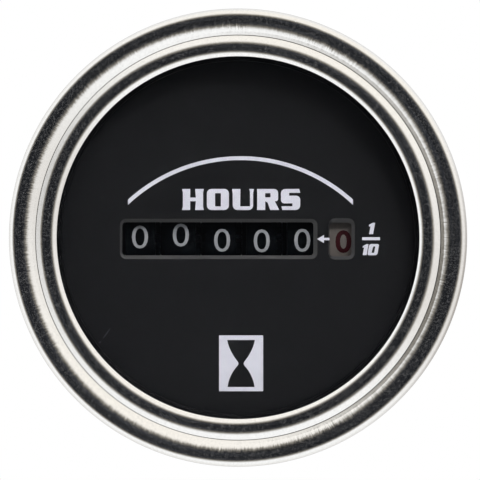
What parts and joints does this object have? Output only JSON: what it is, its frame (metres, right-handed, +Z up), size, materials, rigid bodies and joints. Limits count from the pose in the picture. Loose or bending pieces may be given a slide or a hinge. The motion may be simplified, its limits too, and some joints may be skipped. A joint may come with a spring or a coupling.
{
  "type": "hour meter",
  "caption": "Round panel hour meter with a chromed bezel, a black dial and mechanical number wheels behind two windows.",
  "frame": {"origin": "on the axis of the case barrel, in the plane where the back of the bezel meets the panel", "axes": "+Y backward along the barrel, away from the viewer of the dial; +Z up on the dial; +X right on the dial"},
  "size_m": [0.06, 0.061, 0.06],
  "materials": {
    "chrome": "polished",
    "clear_glass": "clear flat glass",
    "black_rubber": "matt",
    "dial_black": "satin black paint",
    "case_paint": "satin dark grey paint over steel",
    "frame_plastic": "moulded black plastic",
    "wheel_black": "moulded black plastic with white digits",
    "wheel_light": "moulded warm white plastic with red digits",
    "gear_plastic": "natural acetal",
    "bright_steel": "ground steel",
    "zinc_steel": "zinc plated steel",
    "magnet": "sintered magnet",
    "copper": "enamelled copper wire",
    "board_green": "solder mask over glass fibre",
    "part_black": "moulded epoxy",
    "part_blue": "shrink sleeve",
    "terminal_brass": "bright brass",
    "nut_brass": "turned and knurled brass",
    "white_print": "white screen print",
    "red_print": "dark red print"
  },
  "bodies": {
    "meter": {"bezel": "chrome", "glass": "clear_glass", "glass_gasket": "black_rubber", "spacer_ring": "frame_plastic", "dial": "dial_black", "case_cup": "case_paint", "movement_frame": "frame_plastic", "wheel_shaft": "bright_steel", "pinion_shaft": "bright_steel", "gear_pins": "bright_steel", "stator": "bright_steel", "coil_bobbin": "gear_plastic", "coil_winding": "copper", "circuit_board": "board_green", "timing_crystal": "bright_steel", "driver_chip": "part_black", "capacitor": "part_blue", "board_resistors": "part_black", "blade_terminals": "terminal_brass", "terminal_insulators": "part_black", "frame_screws": "zinc_steel", "mounting_studs": "zinc_steel"},
    "number_wheel_1": {"number_wheel_1": "wheel_black"},
    "number_wheel_2": {"number_wheel_2": "wheel_black"},
    "number_wheel_3": {"number_wheel_3": "wheel_black"},
    "number_wheel_4": {"number_wheel_4": "wheel_black"},
    "number_wheel_5": {"number_wheel_5": "wheel_black"},
    "tenths_wheel": {"tenths_wheel": "wheel_light"},
    "carry_pinion_1": {"carry_pinion_1": "gear_plastic"},
    "carry_pinion_2": {"carry_pinion_2": "gear_plastic"},
    "carry_pinion_3": {"carry_pinion_3": "gear_plastic"},
    "carry_pinion_4": {"carry_pinion_4": "gear_plastic"},
    "carry_pinion_5": {"carry_pinion_5": "gear_plastic"},
    "slow_gear": {"slow_gear": "gear_plastic"},
    "middle_gear": {"middle_gear": "gear_plastic"},
    "rotor": {"rotor_pinion": "gear_plastic", "rotor_magnet": "magnet"},
    "clamp": {"clamp_bridge": "zinc_steel", "clamp_washers": "zinc_steel", "clamp_nuts": "nut_brass"}
  },
  "joints": [
    {"name": "tenths_spin", "type": "hinge", "parent": "meter", "child": "tenths_wheel", "pos_m": [0, 0.0107, -0.00015], "axis": [1, 0, 0], "continuous": true},
    {"name": "wheel_5_spin", "type": "hinge", "parent": "meter", "child": "number_wheel_5", "pos_m": [0, 0.0107, -0.00015], "axis": [1, 0, 0], "continuous": true},
    {"name": "wheel_4_spin", "type": "hinge", "parent": "meter", "child": "number_wheel_4", "pos_m": [0, 0.0107, -0.00015], "axis": [1, 0, 0], "continuous": true},
    {"name": "wheel_3_spin", "type": "hinge", "parent": "meter", "child": "number_wheel_3", "pos_m": [0, 0.0107, -0.00015], "axis": [1, 0, 0], "continuous": true},
    {"name": "wheel_2_spin", "type": "hinge", "parent": "meter", "child": "number_wheel_2", "pos_m": [0, 0.0107, -0.00015], "axis": [1, 0, 0], "continuous": true},
    {"name": "wheel_1_spin", "type": "hinge", "parent": "meter", "child": "number_wheel_1", "pos_m": [0, 0.0107, -0.00015], "axis": [1, 0, 0], "continuous": true},
    {"name": "pinion_5_spin", "type": "hinge", "parent": "meter", "child": "carry_pinion_5", "pos_m": [0, 0.0156, 0.00834], "axis": [1, 0, 0], "continuous": true},
    {"name": "pinion_4_spin", "type": "hinge", "parent": "meter", "child": "carry_pinion_4", "pos_m": [0, 0.0156, 0.00834], "axis": [1, 0, 0], "continuous": true},
    {"name": "pinion_3_spin", "type": "hinge", "parent": "meter", "child": "carry_pinion_3", "pos_m": [0, 0.0156, 0.00834], "axis": [1, 0, 0], "continuous": true},
    {"name": "pinion_2_spin", "type": "hinge", "parent": "meter", "child": "carry_pinion_2", "pos_m": [0, 0.0156, 0.00834], "axis": [1, 0, 0], "continuous": true},
    {"name": "pinion_1_spin", "type": "hinge", "parent": "meter", "child": "carry_pinion_1", "pos_m": [0, 0.0156, 0.00834], "axis": [1, 0, 0], "continuous": true},
    {"name": "slow_gear_spin", "type": "hinge", "parent": "meter", "child": "slow_gear", "pos_m": [0, 0.01464, -0.00757], "axis": [1, 0, 0], "continuous": true},
    {"name": "middle_gear_spin", "type": "hinge", "parent": "meter", "child": "middle_gear", "pos_m": [0, 0.02117, -0.00452], "axis": [1, 0, 0], "continuous": true},
    {"name": "rotor_spin", "type": "hinge", "parent": "meter", "child": "rotor", "pos_m": [0, 0.02518, 0.00121], "axis": [1, 0, 0], "continuous": true},
    {"name": "clamp_slide", "type": "slide", "parent": "meter", "child": "clamp", "axis": [0, 1, 0], "range_m": [-0.0044, 0.004]}
  ],
  "couplings": [
    {"joint": "wheel_5_spin", "follows": "tenths_spin", "ratio": 0.1},
    {"joint": "wheel_4_spin", "follows": "tenths_spin", "ratio": 0.01},
    {"joint": "wheel_3_spin", "follows": "tenths_spin", "ratio": 0.001},
    {"joint": "wheel_2_spin", "follows": "tenths_spin", "ratio": 0.0001},
    {"joint": "wheel_1_spin", "follows": "tenths_spin", "ratio": 0.00001},
    {"joint": "pinion_5_spin", "follows": "tenths_spin", "ratio": -0.25},
    {"joint": "pinion_4_spin", "follows": "tenths_spin", "ratio": -0.025},
    {"joint": "pinion_3_spin", "follows": "tenths_spin", "ratio": -0.0025},
    {"joint": "pinion_2_spin", "follows": "tenths_spin", "ratio": -0.00025},
    {"joint": "pinion_1_spin", "follows": "tenths_spin", "ratio": -0.000025},
    {"joint": "slow_gear_spin", "follows": "tenths_spin", "ratio": -6},
    {"joint": "middle_gear_spin", "follows": "tenths_spin", "ratio": 30},
    {"joint": "rotor_spin", "follows": "tenths_spin", "ratio": -180}
  ]
}
